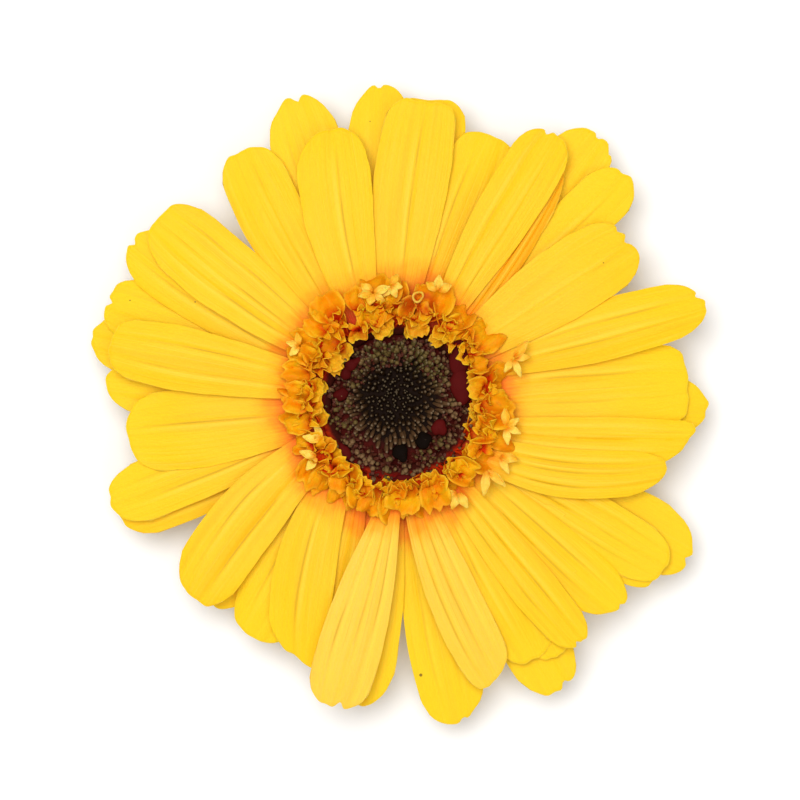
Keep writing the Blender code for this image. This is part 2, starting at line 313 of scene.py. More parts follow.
# Points (radius, height) in millimetres, down the outside of the cup and the stub.
CUP_TOP = [(0, 12.3), (12.2, 12.3), (12.8, 12.1)]
CUP_SIDE = [(13.0, 11.6), (12.7, 10.6), (12.1, 9.4), (11.2, 8.2)]
CUP_FOOT = [(10.0, 7.1), (8.4, 6.0), (6.6, 5.0), (5.0, 4.2)]
STUB_SIDE = [(3.75, 3.3), (3.7, 2.6), (3.7, 1.2), (3.7, 0.2), (3.62, 0.05), (3.5, 0), (0, 0)]
CUP_FACETS = 72
FLESH_GREENS = (0.17, 0.27, 0.05), (0.27, 0.38, 0.1)
PITH_GREENS = (0.74, 0.78, 0.56), (0.5, 0.6, 0.3)
STRAND_GREEN = (0.2, 0.3, 0.08)
cup_green, wires, shader = finish_named("cup_green", 0.65, glow=0.1)
place = wires.place()
above_cut = place.parts()[2] * IN_MM
from_axis = place.off_axis()
flesh = place.noise(900).rise(0.3, 0.7).mix(*FLESH_GREENS)
in_ring = from_axis.rise(2.3, 2.5) * (1 - from_axis.rise(3.0, 3.2))
pith = from_axis.rise(1.0, 2.6).mix(*PITH_GREENS)
pith = (place.noise(2600, 1).rise(0.5, 0.62) * in_ring).mix(pith, STRAND_GREEN)
on_cut = (1 - above_cut.rise(0.01, 0.05)) * (1 - from_axis.rise(3.2, 3.5))
dress(shader, on_cut.mix(flesh, pith), place.noise(2500, 4), 0.12)
cup_profile = [*CUP_TOP, *CUP_SIDE, *CUP_FOOT, *STUB_SIDE]
cup = piece(turned("receptacle", cup_profile, CUP_FACETS), cup_green)
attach(cup, "root")
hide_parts("involucre")

# Bracts
# Pointed green scales in three overlapping rows, which grow on the receptacle and hold the bloom.
# Three shapes of scale, thin skins with a raised midrib, are set out in rings.


def sheet(point, rows, columns, thickness, first=0.0, margin=0.0):
    """A thin closed skin round a surface: its points, faces, (along, across) and which are underneath.

    The skin stays flat up to a narrow margin, a share of its size, and turns over in it.
    """
    steps = [first + (1 - first) * row / rows for row in range(rows + 1)]
    sides = [2 * column / columns - 1 for column in range(columns + 1)]
    if margin:
        flat = 1 - 2 * margin
        steps = [first + (flat - first) * row / (rows - 2) for row in range(rows - 1)] + [1 - margin, 1.0]
        across_flat = [flat * (2 * column / (columns - 4) - 1) for column in range(columns - 3)]
        sides = [-1.0, margin - 1, *across_flat, 1 - margin, 1.0]
    middle = [[point(along, across) for across in sides] for along in steps]
    points, places, under, upper, lower = [], [], [], [], []
    for row, along in enumerate(steps):
        upper.append([])
        lower.append([])
        for column in range(columns + 1):
            here = middle[row][column]
            ahead = middle[min(row + 1, rows)][column] - middle[max(row - 1, 0)][column]
            beside = middle[row][min(column + 1, columns)] - middle[row][max(column - 1, 0)]
            border = row in (0, rows) or column in (0, columns)
            normal = ahead.cross(beside).normalized() * (0 if border else thickness / 2)
            upper[-1].append(len(points))
            points.append((here + normal) * MM)
            lower[-1].append(len(points) if not border else len(points) - 1)
            if not border:
                points.append((here - normal) * MM)
            extra = 1 if border else 2
            places += [(along, sides[column])] * extra
            under += [0.5] if border else [0.0, 1.0]
    faces = []
    for row in range(rows):
        for column in range(columns):
            for skin, turn in ((upper, 1), (lower, -1)):
                near, far = skin[row], skin[row + 1]
                corners = [near[column], far[column], far[column + 1], near[column + 1]]
                faces.append(corners[::turn])
    return points, faces, places, under


# How many random numbers a seed has to itself before those of the next one start.
DRAWS_PER_SEED = 20


def ring_tree():
    """Stands picks of a collection in a ring, or over a ring's width, on a spiral. Sizes are in metres."""
    tree = bpy.data.node_groups.new("ring_of_pieces", "GeometryNodeTree")
    tree.interface.new_socket("Geometry", in_out="OUTPUT", socket_type="NodeSocketGeometry")
    numbers = ["Inner Radius", "Outer Radius", "Height", "Edge Drop", "Height Spread", "First Bearing"]
    numbers += ["Step", "Stray", "Crowding", "Inner Lean", "Outer Lean", "Sway", "Twist", "Turn"]
    numbers += ["Middle Size", "Smallest", "Largest"]
    kinds = {
        "Count": "Int",
        "Middle": "Vector",
        **dict.fromkeys(numbers, "Float"),
        "Seed": "Int",
        "Pieces": "Collection",
        "Finish": "Material",
    }
    for name, kind in kinds.items():
        tree.interface.new_socket(name, in_out="INPUT", socket_type=f"NodeSocket{kind}")
    entry = tree.nodes.new("NodeGroupInput")
    given = {name: Wire(tree, entry.outputs[name]) for name in kinds}
    wires = Wire(tree)
    draws = iter(range(DRAWS_PER_SEED))

    def draw(low, high, kind="FLOAT"):
        """A random number for each piece, from low to high."""
        ends = {2: low, 3: high} if kind == "FLOAT" else {4: low, 5: high}
        return wires.node(
            "FunctionNodeRandomValue",
            {"data_type": kind},
            {**ends, "Seed": given["Seed"] * DRAWS_PER_SEED + next(draws)},
            1 if kind == "FLOAT" else 2,
        )

    index = wires.node("GeometryNodeInputIndex")
    share = (index + 0.5) / given["Count"]
    inner, outer = given["Inner Radius"], given["Outer Radius"]
    radius = (inner * inner + (outer * outer - inner * inner) * share ** given["Crowding"]) ** 0.5
    stray = given["Stray"]
    bearing = given["First Bearing"] + index * given["Step"] + draw(stray * -1, stray)
    height = given["Height"] - given["Edge Drop"] * (radius / outer) ** 3 + draw(0.0, given["Height Spread"])
    x, y = radius * wires.maths("COSINE", bearing), radius * wires.maths("SINE", bearing)
    place = wires.joined(x, y, height)
    place = wires.node("ShaderNodeVectorMath", {"operation": "ADD"}, {0: place, 1: given["Middle"]})
    lean = given["Inner Lean"] + (given["Outer Lean"] - given["Inner Lean"]) * share
    sway, twist = given["Sway"], given["Twist"]
    facing = bearing + given["Turn"] + draw(twist * -1, twist)
    turn = wires.joined(draw(sway * -1, sway), lean + draw(sway * -1, sway), facing)
    size = given["Middle Size"] + (1 - given["Middle Size"]) * share**0.5
    spots = wires.node("GeometryNodePoints", None, {"Count": given["Count"], "Position": place})
    shapes = wires.node(
        "GeometryNodeCollectionInfo",
        None,
        {"Collection": given["Pieces"], "Separate Children": True, "Reset Children": True},
    )
    stood = wires.node(
        "GeometryNodeInstanceOnPoints",
        None,
        {
            "Points": spots,
            "Instance": shapes,
            "Pick Instance": True,
            "Instance Index": draw(0, 99, "INT"),
            "Rotation": wires.node("FunctionNodeEulerToRotation", None, {0: turn}),
            "Scale": draw(given["Smallest"], given["Largest"]) * size,
        },
    )
    tinted = wires.node(
        "GeometryNodeStoreNamedAttribute",
        {"data_type": "FLOAT", "domain": "INSTANCE"},
        {"Geometry": stood, "Name": "tint", "Value": draw(0.0, 1.0)},
    )
    solid = wires.node("GeometryNodeRealizeInstances", None, {"Geometry": tinted})
    painted = wires.node("GeometryNodeSetMaterial", None, {"Geometry": solid, "Material": given["Finish"]})
    leaving = tree.nodes.new("NodeGroupOutput")
    tree.links.new(painted.socket, leaving.inputs["Geometry"])
    return tree


RING_TREE = ring_tree()
USUAL_RING = {
    "Middle": (0.0, 0.0, 0.0),
    "Crowding": 1.0,
    "Middle Size": 1.0,
    **dict.fromkeys(("Edge Drop", "Stray", "Sway", "Twist", "Turn", "First Bearing", "Height Spread"), 0.0),
}


def grown(name, rings, shape, count, finish):
    """A piece made of rings of a shape in several kinds, each ring with its own inputs to the tree."""
    kinds = bpy.data.collections.new(f"{name}_shapes")
    for number in range(count):
        kinds.objects.link(bpy.data.objects.new(f"{name}_shape_{number:02d}", shape(number)))
    entries = RING_TREE.interface.items_tree
    sockets = {item.name: item.identifier for item in entries if item.in_out == "INPUT"}
    parts = []
    for values in rings:
        part = placed(name, bpy.data.meshes.new(name))
        modifier = part.modifiers.new("ring", "NODES")
        modifier.node_group = RING_TREE
        inputs = {**USUAL_RING, "Step": 2 * math.pi / values["Count"], **values}
        for socket, value in {**inputs, "Pieces": kinds, "Finish": finish}.items():
            modifier[sockets[socket]] = value
        parts.append(part)
    graph = bpy.context.evaluated_depsgraph_get()
    for part in parts:
        made = bpy.data.meshes.new_from_object(part.evaluated_get(graph))
        part.modifiers.clear()
        part.data = made
    if len(parts) > 1:
        with bpy.context.temp_override(active_object=parts[0], selected_editable_objects=parts):
            bpy.ops.object.join()
    smooth(parts[0].data)
    for kind in list(kinds.objects):
        bpy.data.objects.remove(kind)
    bpy.data.collections.remove(kinds)
    return parts[0]


def even_ring(count, radius, height, lean, smallest, largest, seed, more):
    """The inputs of a ring on one circle. Lengths are in millimetres and the lean is in degrees."""
    return {
        "Count": count,
        "Inner Radius": radius * MM,
        "Outer Radius": radius * MM,
        "Height": height * MM,
        "Inner Lean": math.radians(lean),
        "Outer Lean": math.radians(lean),
        "Smallest": smallest,
        "Largest": largest,
        "Seed": seed,
        **more,
    }


BRACT_LENGTH = 7.0
BRACT_WIDTHS = (3.3, 3.6, 3.0)
BRACT_THICKNESS = 0.42
# Count, radius and height in millimetres, lean in degrees, and size.
BRACT_ROWS = [(11, 4.8, 4.1, 62, 0.94), (13, 7.9, 5.6, 45, 1.0), (15, 10.7, 7.8, 31, 0.66)]
# The smallest bract of a row, as a share of its size.
SMALLEST_BRACT = 0.92
BRACT_SEED = 2
BRACT_GREENS = (0.1, 0.19, 0.03), (0.24, 0.36, 0.09)
BORDER_GREEN = (0.4, 0.46, 0.2)
TIP_BROWN = (0.26, 0.15, 0.07)


def bract(number):
    """A pointed scale that stands on its foot and faces +X."""
    width = BRACT_WIDTHS[number]

    def point(along, across):
        half = width / 2 * (0.72 + 0.28 * math.sin(min(along / 0.4, 1) * math.pi / 2))
        half *= (1 - max(0, along - 0.4) / 0.6) ** 0.8 * 0.96 + 0.04
        proud = 0.55 * 4 * along * (1 - along) + 0.5 * along**2 - 0.3 * (across * half) ** 2 / (width / 2)
        rib = 0.14 * math.exp(-((across / 0.16) ** 2)) * (1 - along)
        return Vector((proud + rib, across * half, BRACT_LENGTH * along))

    return gathered(f"bract_{number}", [sheet(point, 12, 10, BRACT_THICKNESS, margin=0.02)])


bract_green, wires, shader = finish_named("bract_green", 0.7, glow=0.08)
across, along = wires.growth()
tint = wires.kept("tint")
veins = wires.joined(across * 22, along * 1.6, tint * 7).noise(1.0)
green = (veins * 0.6 + tint * 0.4).mix(*BRACT_GREENS)
green = (abs(across * 2 - 1).rise(0.75, 1.0) * 0.5).mix(green, BORDER_GREEN)
dress(shader, along.rise(0.82, 1.0).mix(green, TIP_BROWN), veins, 0.1)
bract_rings = []
for number, (count, radius, height, lean, size) in enumerate(BRACT_ROWS):
    more = {"First Bearing": (number % 2) * math.pi / count, "Sway": 0.05}
    sizes = (size * SMALLEST_BRACT, size)
    bract_rings.append(even_ring(count, radius, height, lean, *sizes, BRACT_SEED + number, more))
bracts = grown("bracts", bract_rings, bract, len(BRACT_WIDTHS), bract_green)
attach(bracts, "root")
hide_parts("involucre")

# Petals
# The long yellow ray florets, thin and soft, each drawn here from its tip and its root.
# They grow in three whorls, hindmost first, and the front ones show their grooves from end to end.
# Sizes are in millimetres, and tilts are slopes.
EYE_RADIUS = 10.0
CLEARANCE = 0.35
RING_INNER = EYE_RADIUS + CLEARANCE
RING_OUTER = 12.6
ROOT_RADIUS = 10.0
FIRST_ROW = 0.028
ROOT_INSET = 0.5
LOWEST_LAYER = 13.3
LAYER_PITCH = 0.74
BACK_TILT = -0.045
TILT_PER_LAYER = 0.015
PETAL_ARCH = 1.1
TIP_DROOP = 1.4
EDGE_DROOP = 0.5
TIP_TAPER = 0.18
PETAL_THICKNESS = 0.34
EDGE_MARGIN = 0.008
# The widths of a notch, a groove and a fold are shares of half the petal's width.
NOTCH_DEPTH = 0.8
NOTCH_WIDTH = 0.12
GROOVE_WIDTH = 0.085
FOLD_WIDTH = 0.3
GOLDEN_ANGLE = math.radians(137.508)
SHADED_BELOW = 16.5
GOLDEN = (0.88, 0.495, 0.016)
LEMON = (0.88, 0.55, 0.003)
VEIN_AMBER = (0.85, 0.41, 0.005)
PAINTED_BAND_SHADE = (0.87, 0.44, 0.006)
CREAM_YELLOW = (0.9, 0.58, 0.05)
PALER_YELLOW = (0.9, 0.58, 0.1)
PAINTED_RIDGE_HIGHLIGHT = (0.92, 0.61, 0.05)
PAINTED_GROOVE_SHADE = (0.55, 0.31, 0.006)
PAINTED_LIGHT_YELLOW = (0.9, 0.6, 0.012)
PETAL_ORANGE = (0.9, 0.36, 0.003)
ROOT_ORANGE = (0.88, 0.18, 0.002)
ROOT_RED = (0.7, 0.05, 0.002)
UNDERSIDE_YELLOW = (0.9, 0.6, 0.06)
SPECK_BROWN = (0.07, 0.04, 0.01)
# Place and size of the dark specks in millimetres.
SPECKS = [(3.8, -43.9, 0.34), (32.8, 21.8, 0.16), (-32.1, 15.6, 0.18)]
SPECKS += [(-42.6, 15.9, 0.18), (-4.3, 44.5, 0.15)]

# tip and root are bearings in degrees and reach and width are in millimetres. layer is 0 for the
# hindmost, bow leans the middle anticlockwise, neck is the root's share of the width, cap the length of
# the rounded end as a share of it, blunt squares the end off and skew shortens its anticlockwise corner.
# teeth are the notches between its teeth, by their places across it. pale is 1 for a paler petal and
# -1 for one painted deep orange: painted shade, the orange glow of a shaded gap under the petals over it.
Petal = namedtuple(
    "Petal",
    "tip reach width layer root bow widest neck cap blunt skew teeth pale",
    defaults=(0.0, 0.74, 0.34, 0.52, 2.6, 0.0, (), 0.0),
)
BACK_PETALS = [
    Petal(109.4, 51.2, 11.4, 1.2, 112, widest=0.8, cap=0.6, skew=0.06, blunt=2.2, teeth=(-0.18,)),
    Petal(93, 50.7, 11, 0.3, 97, widest=0.78, cap=0.8, blunt=2.1, teeth=(0.05,)),
    Petal(83.2, 48.4, 11.6, 1.1, 84, widest=0.85, cap=0.28, blunt=4.5),
    Petal(52.8, 53.4, 10.8, 0.4, 56, widest=0.8, cap=0.6, skew=0.03, teeth=(-0.04, -0.68)),
    Petal(358.8, 49.7, 9.6, 0.5, 2, widest=0.8, cap=0.6, blunt=2.2),
    Petal(331.8, 53.2, 11.6, 0.6, 331, widest=0.76, cap=0.65, skew=0.06, teeth=(-0.1,)),
    Petal(325.2, 50.2, 7.6, 1.1, 322, cap=0.7, blunt=2.2),
    Petal(299.4, 53.2, 10.6, 0.6, 299, widest=0.8, teeth=(0.24,)),
    Petal(281, 52.5, 11.2, 0.5, 278, bow=-0.2, widest=0.78, cap=0.6, blunt=2.3, skew=0.08, teeth=(0.16,)),
    Petal(263.2, 49.2, 9.4, 1.3, 268, cap=0.7, blunt=2.2),
    Petal(226.4, 44.2, 10, 0.8, 225, pale=-0.4),
    Petal(202.8, 48, 9.6, 0.6, 206, cap=0.6, blunt=2.4, pale=-0.5),
    Petal(168.2, 49.8, 10.2, 0.4, 169, cap=0.62, blunt=2.3),
    Petal(176.6, 46.6, 10, 1.3, 178, cap=0.8, blunt=2.2),
    Petal(134.5, 30, 7.4, 1.2, 136, cap=0.8, blunt=2.2),
    Petal(258.5, 42, 7.6, 0.8, 254, blunt=2.4, pale=-0.6),
    Petal(252.6, 42, 7.4, 1.9, 238, blunt=2.4),
]
MIDDLE_PETALS = [
    Petal(44.4, 51.2, 8.8, 2, 47, widest=0.82, skew=0.04),
    Petal(161.2, 48.8, 10, 1.6, 160, widest=0.82, cap=0.45, blunt=3.4, teeth=(0,)),
    Petal(149.2, 49.4, 9.8, 2.6, 158, bow=0.9, widest=0.8, cap=0.56, blunt=2.4, teeth=(0,)),
    Petal(70.2, 44.8, 10.8, 2.5, 75, bow=0.3, widest=0.78, cap=0.4, blunt=3.2),
    # A narrow strip in the gap between two petals, painted deep orange: painted shade, the orange glow of
    # that gap.
    Petal(54.4, 45.7, 3.6, 3.2, 46, bow=-1.2, widest=0.5, neck=0.6, cap=2, blunt=1.8, pale=-1),
    Petal(302.4, 48.2, 8.6, 1.9, 302, blunt=2.4),
    Petal(3.2, 46.4, 13.8, 2.3, 0, widest=0.7, neck=0.6, cap=0.26, blunt=3.8),
    Petal(328, 50.6, 9.6, 1.9, 324, cap=0.6),
    Petal(238.4, 44.4, 11.6, 2.2, 237),
    Petal(199.8, 48.6, 9.6, 2.4, 198, widest=0.8, cap=0.62, blunt=2.3),
    Petal(352, 47, 7.6, 3.2, 335, bow=-0.9, widest=0.7, neck=0.5, cap=0.5, blunt=2.6, skew=-0.3),
    Petal(316.4, 48.6, 9.2, 2.9, 315, bow=-0.2, widest=0.76, cap=0.66, blunt=2.3, skew=-0.14, teeth=(0.24,)),
]
FRONT_PETALS = [
    Petal(121.8, 46.8, 10.6, 3.4, 128, bow=1.3, cap=0.42, skew=-0.05),
    Petal(84.8, 47.8, 12, 3.7, 91, bow=0.6, widest=0.72, neck=0.4, cap=0.32, blunt=4.2),
    Petal(298.3, 46.8, 9.4, 3, 296, cap=0.45, blunt=2.8),
    Petal(17.4, 51.4, 9.6, 3.5, 25, bow=0.2, widest=0.66, cap=0.62, blunt=2.2, teeth=(0.35,)),
    Petal(187.2, 43.2, 12.8, 3.5, 191, bow=0.2, neck=0.45, cap=0.4, blunt=2.8),
    Petal(249, 44.2, 10, 3.4, 222, bow=-2.2, widest=0.72, neck=0.45, cap=0.4, blunt=2.8, skew=-0.2),
    Petal(103.8, 44.2, 11.6, 4.6, 114, bow=1.3, blunt=2.8),
    Petal(59.4, 49.2, 9.6, 4.3, 61, bow=0.3, widest=0.76, cap=0.5, blunt=2.8, skew=-0.04, teeth=(0.24,)),
    Petal(34.3, 45, 12, 4.4, 37, bow=0.3, widest=0.72, neck=0.4, cap=0.45, blunt=2.8, teeth=(0.06, 0.46)),
    Petal(345.8, 44.4, 7.8, 4.3, 324, bow=-3, widest=0.6, neck=0.56, cap=0.8, blunt=2),
    Petal(307, 48.6, 7.4, 4, 302, bow=-0.4, widest=0.7, neck=0.45, cap=0.6, blunt=2.4, teeth=(-0.1,)),
    Petal(
        289.4, 47.2, 8.6, 3.9, 279, bow=-1.2, widest=0.76, neck=0.42, cap=0.42, blunt=2.8, skew=0.2, pale=0.8
    ),
    Petal(258.2, 49.8, 10.2, 4.9, 273, bow=0.2, widest=0.8, neck=0.16, cap=0.4, teeth=(0.21,), pale=1),
    Petal(224.1, 45.2, 11, 4.4, 206, bow=-1.8, widest=0.7, neck=0.45, cap=0.5, blunt=2.5),
    Petal(169, 46.4, 10.2, 5, 168, bow=0.2, widest=0.76, neck=0.45, cap=0.45, blunt=3),
    Petal(142.8, 48, 11.8, 4.2, 146, bow=0.5, widest=0.72, neck=0.36, cap=0.5),
]
# The petals of each whorl, and the rows and columns of a blade's skin.
WHORLS = {
    "back_petals": (BACK_PETALS, 44, 24),
    "middle_petals": (MIDDLE_PETALS, 52, 28),
    "front_petals": (FRONT_PETALS, 60, 34),
}


def polar(radius, bearing):
    angle = math.radians(bearing)
    return Vector((radius * math.cos(angle), radius * math.sin(angle), 0.0))


def petal_skin(petal, number, rows, columns):
    """The thin skin of one petal, with its own grooves, waves and curl."""
    draw = random.Random(number)
    root = polar(ROOT_RADIUS, petal.root)
    line = polar(petal.reach, petal.tip) - root
    length = line.length
    forward = line / length
    side = Vector((-forward.y, forward.x, 0))
    grooves = draw.choice([(-0.36, 0.34), (-0.4, 0.28), (-0.3, 0.42), (-0.52, 0.02, 0.5), (-0.1,)])
    grooves = [groove + draw.uniform(-0.06, 0.06) for groove in grooves]
    depths = [draw.uniform(0.12, 0.42) for groove in grooves]
    fold = draw.uniform(-0.6, 0.6)
    fold_depth = draw.uniform(-0.5, 0.6)
    flutter = 0.25 * math.sin(number * GOLDEN_ANGLE)
    curl = draw.uniform(-0.5, 0.9)
    twist = draw.uniform(-0.35, 0.35)

    def wander(groove, along):
        return groove + 0.05 * noise.noise(Vector((along * 3, groove * 9, number)))

    def point(along, across):
        rounded = petal.cap * petal.width / length
        end = 1 - rounded * (1 - (1 - abs(across) ** petal.blunt) ** (1 / petal.blunt))
        end -= petal.skew * across * petal.width / length
        cuts = [math.exp(-(((across - notch) / NOTCH_WIDTH) ** 2)) for notch in petal.teeth]
        end -= sum(NOTCH_DEPTH / length * cut for cut in cuts)
        end += 0.012 * noise.noise(Vector((across * 2.6, number * 3.1, 0)))
        t = along * end
        if t < petal.widest:
            swell = math.sin(t / petal.widest * math.pi / 2) ** 1.3
            half = petal.width / 2 * (petal.neck + (1 - petal.neck) * swell)
        else:
            half = petal.width / 2 * (1 - TIP_TAPER * ((t - petal.widest) / (1 - petal.widest)) ** 2)
        half *= 1 + 0.035 * noise.noise(Vector((t * 5, number * 1.7, math.copysign(2, across))))
        here = root + forward * length * t + side * (petal.bow * 4 * t * (1 - t) + half * across)
        here *= max(1.0, (RING_INNER + ROOT_INSET) / here.length)
        out = max(0.0, here.length - RING_OUTER)

        lift = out * (BACK_TILT + TILT_PER_LAYER * petal.layer) + PETAL_ARCH * math.sin(math.pi * t)
        lift += flutter * t * t - TIP_DROOP * t**3 + twist * across * t
        free = min(1.0, 2 * t)
        lift -= EDGE_DROOP * across * across * free
        for groove, depth in zip(grooves, depths):
            off = (across - wander(groove, along)) / GROOVE_WIDTH
            lift -= depth * free * (1 - 0.5 * t**4) * math.exp(-(off**2))
        in_fold = math.exp(-(((across - fold - 0.2 * t) / FOLD_WIDTH) ** 2))
        lift -= fold_depth * free * in_fold * math.sin(math.pi * t)
        lift += curl * max(0.0, along - 0.8) ** 2 * 14 * (0.4 + 0.6 * across * across)
        lift += 0.3 * free * noise.noise(Vector((here.x * 0.09, here.y * 0.09, number * 5.3)))
        lift += 0.22 * across**4 * free * noise.noise(Vector((t * 9, number * 2.9, across)))
        return Vector((here.x, here.y, LOWEST_LAYER + LAYER_PITCH * petal.layer + lift))

    skin = sheet(point, rows, columns, PETAL_THICKNESS, FIRST_ROW, EDGE_MARGIN)
    off_groove = [
        min((across - wander(groove, along) for groove in grooves), key=abs) * petal.width / 2
        for along, across in skin[2]
    ]
    return skin, off_groove


thin_flesh = {"glow": 0.25, "depth": 0.8, "spread": (1.0, 0.6, 0.1)}
petal_yellow, wires, shader = finish_named("petal_yellow", 0.5, shine=0.15, **thin_flesh)
place = wires.place()
x, y, z = place.parts()
from_axis = place.off_axis()
across, along = wires.growth()
tint = wires.kept("tint")
beneath = wires.kept("underneath")
veins = wires.joined(across * 30, along * 1.6, tint * 40).noise(1.0, 4, 0.6)
patches = place.noise(90, 3)
bands = wires.joined(across * 6, along * 1.1, tint * 40).noise(1.0, 1)
yellow = (along.rise(0.3, 1.0) * 0.5 + tint * 0.3 + patches * 0.3).mix(GOLDEN, LEMON)
yellow = (veins.rise(0.5, 0.75) * 0.3).mix(yellow, VEIN_AMBER)
# Painted shade: soft deeper-yellow bands at random along each petal, for the shading of soft folds.
yellow = (bands.rise(0.5, 0.72) * 0.5).mix(yellow, PAINTED_BAND_SHADE)
yellow = ((1 - veins.rise(0.28, 0.46)) * 0.3).mix(yellow, CREAM_YELLOW)
pale = wires.kept("pale")
yellow = (pale * (0.2 + veins * 0.5)).mix(yellow, PALER_YELLOW)
# Painted shade: petals whose pale is below 0 turn deep orange, the orange glow of the shaded gaps they lie
# in.
yellow = ((0 - pale).rise(0.0, 1.0) * 0.8).mix(yellow, PETAL_ORANGE)
off_groove = wires.kept("off_groove")
drawn_out = along.rise(0.05, 0.3) * (1 - along.rise(0.7, 1.0))
in_groove = (1 - abs(off_groove).rise(0.04, 0.34)) * drawn_out
ridge = off_groove.rise(0.25, 0.5) * (1 - off_groove.rise(0.6, 1.3)) * drawn_out
broken = place.noise(70, 1).rise(0.38, 0.6)
# Painted light on the petals' real grooves: a painted highlight on the ridge to one side of each groove, and
# painted shade along the groove, broken at random.
yellow = (ridge * 0.45).mix(yellow, PAINTED_RIDGE_HIGHLIGHT)
yellow = (in_groove * broken * (0.25 + veins * 0.8)).mix(yellow, PAINTED_GROOVE_SHADE)
deep = SHADED_BELOW - z * IN_MM
# Painted light: the lower a petal lies below SHADED_BELOW, the lighter its yellow, lifting the shade cast by
# the petals over it.
yellow = (deep.rise(0.0, 3.0) * 0.5).mix(yellow, PAINTED_LIGHT_YELLOW)
less_on_right = x.rise(8 * MM, 16 * MM) * 2.4
# The orange and red near the ring are the petals' own colour, but lower petals carry them further out:
# painted shade, the orange glow of the shaded gaps under the petals over them.
reddened = from_axis - deep * 0.9 + (veins - 0.5) * 4 + (place.noise(260, 2) - 0.5) * 5 + less_on_right
for inner, outer, shade in ((19.6, 24, PETAL_ORANGE), (17.4, 21.6, ROOT_ORANGE), (14.4, 18.4, ROOT_RED)):
    yellow = (1 - reddened.rise(inner, outer)).mix(yellow, shade)
yellow = (beneath * 0.6).mix(yellow, UNDERSIDE_YELLOW)
flat = wires.joined(x, y)
for speck_x, speck_y, size in SPECKS:
    ends = {0: flat, 1: (speck_x * MM, speck_y * MM, 0)}
    apart = flat.node("ShaderNodeVectorMath", {"operation": "DISTANCE"}, ends, 1) * IN_MM
    speck = (1 - apart.rise(size * 0.5, size)) * (1 - beneath) * (0.45 + size)
    yellow = speck.mix(yellow, SPECK_BROWN)
dress(shader, yellow, veins * 0.7 + place.noise(1500, 2) * 0.3, 0.16)

number = 0
for name, (petals, *detail) in WHORLS.items():
    skins, off_groove, paleness_and_gap_shade = [], [], []
    for petal in petals:
        skin, off = petal_skin(petal, number, *detail)
        skins.append(skin)
        off_groove += off
        paleness_and_gap_shade += [petal.pale] * len(off)
        number += 1
    draw = random.Random(name)
    mesh = gathered(name, skins, [draw.random() for petal in petals])
    keep(mesh, "pale", paleness_and_gap_shade)
    keep(mesh, "off_groove", off_groove)
    whorl = piece(mesh, petal_yellow)
    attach(whorl, "root")
    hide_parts("ray_florets")

# Petal tubes
# Below their blades the petals are closed into short pale tubes, packed side by side in a ring that
# stands on the receptacle's rim.
TUBE_OUTSIDE = [(12.3, 17.2), (12.5, 16.6), (12.4, 14.6), (12.2, 12.8), (12.0, 12.65)]
TUBE_INSIDE = [(10.6, 12.65), (10.5, 12.8), (10.5, 17.2)]
TUBE_COUNT = 44
TUBE_DEPTH = 0.1
TUBE_COLOURS = (0.75, 0.62, 0.2), (0.6, 0.6, 0.25)
STEPS_PER_RIB = 6


def ribbed(name, profile, ribs, depth):
    """A band turned about the axis, with upright ribs all round."""
    return turned(name, profile, STEPS_PER_RIB * ribs, lambda angle: depth * math.sin(ribs * angle))


tube_yellow, wires, shader = finish_named("tube_yellow", 0.6)
place = wires.place()
dress(shader, place.noise(900).mix(*TUBE_COLOURS), place.noise(2000), 0.1)
tubes = piece(ribbed("petal_tubes", [*TUBE_OUTSIDE, *TUBE_INSIDE], TUBE_COUNT, TUBE_DEPTH), tube_yellow)
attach(tubes, "root")
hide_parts("ray_florets")

# Frilly ring
# Short crumpled trans florets, amber with pale rims. Each is a tube with a broad toothed lip and two
# smaller lobes opposite. The outer ones curl out over the petals, and the inner ones in over the eye.
FRILL_SHAPES = 16
FRILL_THICKNESS = 0.16
LOBE_THICKNESS = 0.14
# The smallest and the largest frill of a ring, as shares of its size.
FRILL_SIZES = (0.84, 1.08)
FRILL_SEED = 11
# Count, middle, radius and height in millimetres, lean, turn and first bearing in degrees, and size.
# The last three are single frills that lean out over the petals at the upper left.
FRILL_RINGS = [
    (26, (-0.6, 0.1), 12.3, 17.4, 50, 0, 0, 1.1),
    (21, (-0.4, -0.6), 12.1, 17.7, 33, 0, 7.45, 0.96),
    (17, (0.2, -1.3), 13.4, 17.9, -20, 180, 14.9, 0.7),
    (20, (0.3, -1.4), 13.1, 17.8, -2, 180, 22.35, 0.5),
    (1, (0, 0), 15.2, 18.2, 30, 0, 124, 0.9),
    (1, (0, 0), 14.8, 18.2, 34, 0, 134, 0.85),
    (1, (0, 0), 14.6, 18.4, 26, 0, 118, 0.8),
]
AMBERS = (0.78, 0.22, 0.001), (0.8, 0.36, 0.003)
PALE_AMBER = (0.82, 0.42, 0.01)
INNER_AMBER = (0.74, 0.42, 0.03)
OUTER_ORANGE = (0.82, 0.25, 0.001)
RED_ORANGE = (0.7, 0.12, 0.001)
GAP_SHADE_AND_TUBE_RED = (0.55, 0.035, 0.002)
PAINTED_GAP_SHADE_RED = (0.5, 0.035, 0.002)
RIM_YELLOW = (0.9, 0.52, 0.03)
THROAT_RED = (0.6, 0.03, 0.002)
# The middle of the painted shade of a red gap, painted on the frills at the top of the ring, in millimetres.
GAP_SHADE_MIDDLE = (3.2, 15.4)


